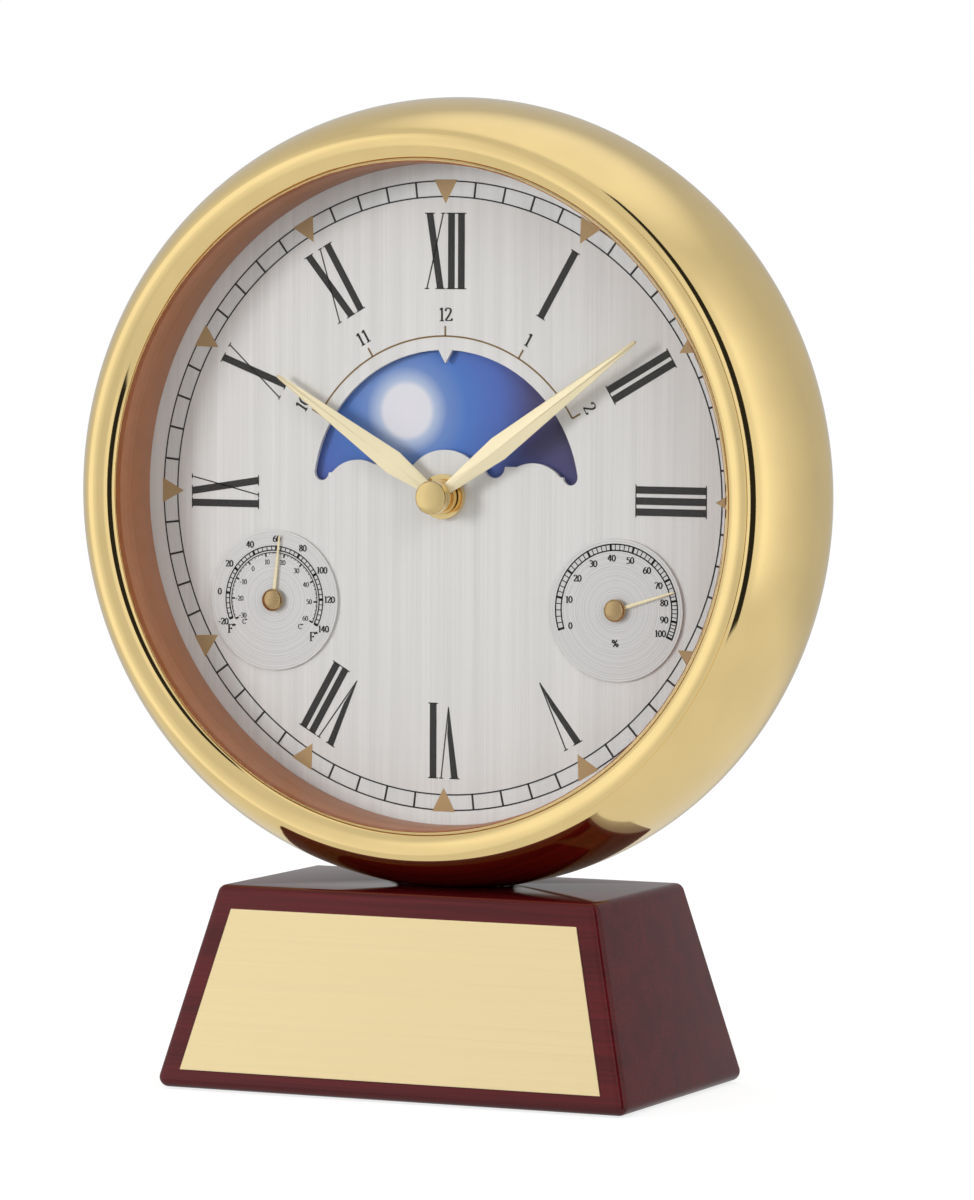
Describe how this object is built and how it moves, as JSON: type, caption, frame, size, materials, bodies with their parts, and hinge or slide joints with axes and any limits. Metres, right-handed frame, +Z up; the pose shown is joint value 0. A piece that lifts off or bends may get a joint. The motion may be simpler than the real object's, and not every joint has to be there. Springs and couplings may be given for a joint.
{
  "type": "desk clock",
  "caption": "Desk clock with a round gold drum on a sloped wooden plinth: moon phase window, hour and minute hands, thermometer and hygrometer dials, battery movement.",
  "frame": {"origin": "under the plinth, at the middle of the felt's lower side", "axes": "+X to the right of somebody who reads the dial, +Y to the back, +Z up"},
  "size_m": [0.1702, 0.0656, 0.213],
  "materials": {
    "wood": "gloss lacquer over a dark cherry stain",
    "felt": "dark green felt",
    "gold": "gold-plated, polished",
    "plate": "satin brass sheet, lacquered",
    "steel": "zinc-plated steel",
    "glass": "clear mineral glass",
    "brown": "brown spacer ring, satin",
    "seal": "black rubber",
    "dial": "light grey satin dial with printed scales",
    "face": "light grey satin with a printed scale",
    "moon": "blue sky with two pale moons, printed",
    "hand": "pale gold-plated, polished",
    "white_plastic": "white acetal",
    "black_plastic": "black moulded",
    "grey_plastic": "dark grey moulded",
    "cover": "black moulded, fine grain",
    "brass": "bare brass",
    "copper": "enamelled copper wire and bimetal",
    "board": "green circuit board",
    "cell": "plain blue sleeve"
  },
  "bodies": {
    "clock_body": {"plinth_block": "wood", "engraving_plate": "plate", "felt_pad": "felt", "base_screws": "steel", "base_washers": "steel", "nut_plate": "steel", "case_shell": "gold", "front_bezel": "gold", "glass_seal": "seal", "glass_lens": "glass", "spacer_ring": "brown", "dial_plate": "dial", "dial_carrier": "white_plastic", "case_clamps": "steel", "clamp_screws": "steel", "back_cover": "cover", "back_cover_screws": "steel", "movement_front_shell": "black_plastic", "movement_back_shell": "grey_plastic", "train_bridge": "white_plastic", "rotor_bridge": "white_plastic", "circuit_board": "board", "motor_coil": "copper", "motor_stator": "steel", "quartz_crystal": "steel", "battery_contacts": "steel", "shaft_bush": "brass", "dial_nut": "gold", "thermometer_face": "face", "thermometer_can": "steel", "thermometer_coil": "copper", "hygrometer_face": "face", "hygrometer_can": "steel", "hygrometer_coil": "copper"},
    "minute_group": {"centre_arbor": "steel", "friction_spring": "steel", "centre_collar": "steel", "minute_hand": "hand", "hand_nut": "gold"},
    "hour_group": {"hour_wheel": "white_plastic", "hour_hand": "hand"},
    "minute_wheel_group": {"minute_wheel": "white_plastic", "time_set_knob": "grey_plastic"},
    "moon_transfer_group": {"moon_transfer_wheel": "white_plastic"},
    "second_group": {"second_wheel": "white_plastic"},
    "centre_wheel_group": {"centre_wheel": "brass"},
    "third_group": {"third_wheel": "brass"},
    "step_group": {"step_wheel": "white_plastic"},
    "rotor_group": {"motor_rotor": "steel"},
    "moon_group": {"moon_disc": "moon", "moon_ring_gear": "white_plastic"},
    "moon_arbor_group": {"moon_arbor": "steel", "moon_clutch_spring": "steel", "moon_clutch_collar": "steel", "moon_set_knob": "grey_plastic"},
    "thermometer_needle_group": {"thermometer_needle": "hand", "thermometer_cap": "gold"},
    "hygrometer_needle_group": {"hygrometer_needle": "hand", "hygrometer_cap": "gold"},
    "battery_group": {"battery_cell": "cell"}
  },
  "joints": [
    {"name": "minute_turn", "type": "hinge", "parent": "clock_body", "child": "minute_group", "pos_m": [0, -0.0043, 0.12752], "axis": [0, 1, 0], "continuous": true},
    {"name": "hour_turn", "type": "hinge", "parent": "clock_body", "child": "hour_group", "pos_m": [0, -0.0043, 0.12752], "axis": [0, 1, 0], "continuous": true},
    {"name": "minute_wheel_turn", "type": "hinge", "parent": "clock_body", "child": "minute_wheel_group", "pos_m": [-0.00955, -0.0043, 0.12652], "axis": [0, 1, 0], "continuous": true},
    {"name": "moon_transfer_turn", "type": "hinge", "parent": "clock_body", "child": "moon_transfer_group", "pos_m": [0, -0.0043, 0.15452], "axis": [0, 1, 0], "continuous": true},
    {"name": "second_wheel_turn", "type": "hinge", "parent": "clock_body", "child": "second_group", "pos_m": [0.01601, -0.0043, 0.13396], "axis": [0, 1, 0], "continuous": true},
    {"name": "centre_wheel_turn", "type": "hinge", "parent": "clock_body", "child": "centre_wheel_group", "pos_m": [0, -0.0043, 0.12752], "axis": [0, 1, 0], "continuous": true},
    {"name": "third_wheel_turn", "type": "hinge", "parent": "clock_body", "child": "third_group", "pos_m": [0.00956, -0.0043, 0.12752], "axis": [0, 1, 0], "continuous": true},
    {"name": "step_wheel_turn", "type": "hinge", "parent": "clock_body", "child": "step_group", "pos_m": [0.01044, -0.0043, 0.13953], "axis": [0, 1, 0], "continuous": true},
    {"name": "rotor_turn", "type": "hinge", "parent": "clock_body", "child": "rotor_group", "pos_m": [0.00504, -0.0043, 0.13953], "axis": [0, 1, 0], "continuous": true},
    {"name": "moon_turn", "type": "hinge", "parent": "clock_body", "child": "moon_group", "pos_m": [0, -0.0043, 0.12752], "axis": [0, 1, 0], "continuous": true},
    {"name": "moon_arbor_turn", "type": "hinge", "parent": "clock_body", "child": "moon_arbor_group", "pos_m": [0, -0.0043, 0.15452], "axis": [0, 1, 0], "continuous": true},
    {"name": "thermometer_needle_turn", "type": "hinge", "parent": "clock_body", "child": "thermometer_needle_group", "pos_m": [-0.04036, -0.0043, 0.10422], "axis": [0, 1, 0], "range_deg": [-119, 107]},
    {"name": "hygrometer_needle_turn", "type": "hinge", "parent": "clock_body", "child": "hygrometer_needle_group", "pos_m": [0.04036, -0.0043, 0.10422], "axis": [0, 1, 0], "range_deg": [-183.6, 38.4]},
    {"name": "battery_slide", "type": "slide", "parent": "clock_body", "child": "battery_group", "axis": [0, 1, 0], "range_m": [0, 0.02]}
  ],
  "couplings": [
    {"joint": "hour_turn", "follows": "minute_turn", "ratio": 0.083333},
    {"joint": "minute_wheel_turn", "follows": "minute_turn", "ratio": -0.33333},
    {"joint": "moon_transfer_turn", "follows": "minute_turn", "ratio": -0.0092593},
    {"joint": "third_wheel_turn", "follows": "second_wheel_turn", "ratio": -0.125},
    {"joint": "centre_wheel_turn", "follows": "second_wheel_turn", "ratio": 0.016667},
    {"joint": "step_wheel_turn", "follows": "second_wheel_turn", "ratio": -6},
    {"joint": "rotor_turn", "follows": "second_wheel_turn", "ratio": 30},
    {"joint": "moon_arbor_turn", "follows": "moon_turn", "ratio": -13.111}
  ]
}
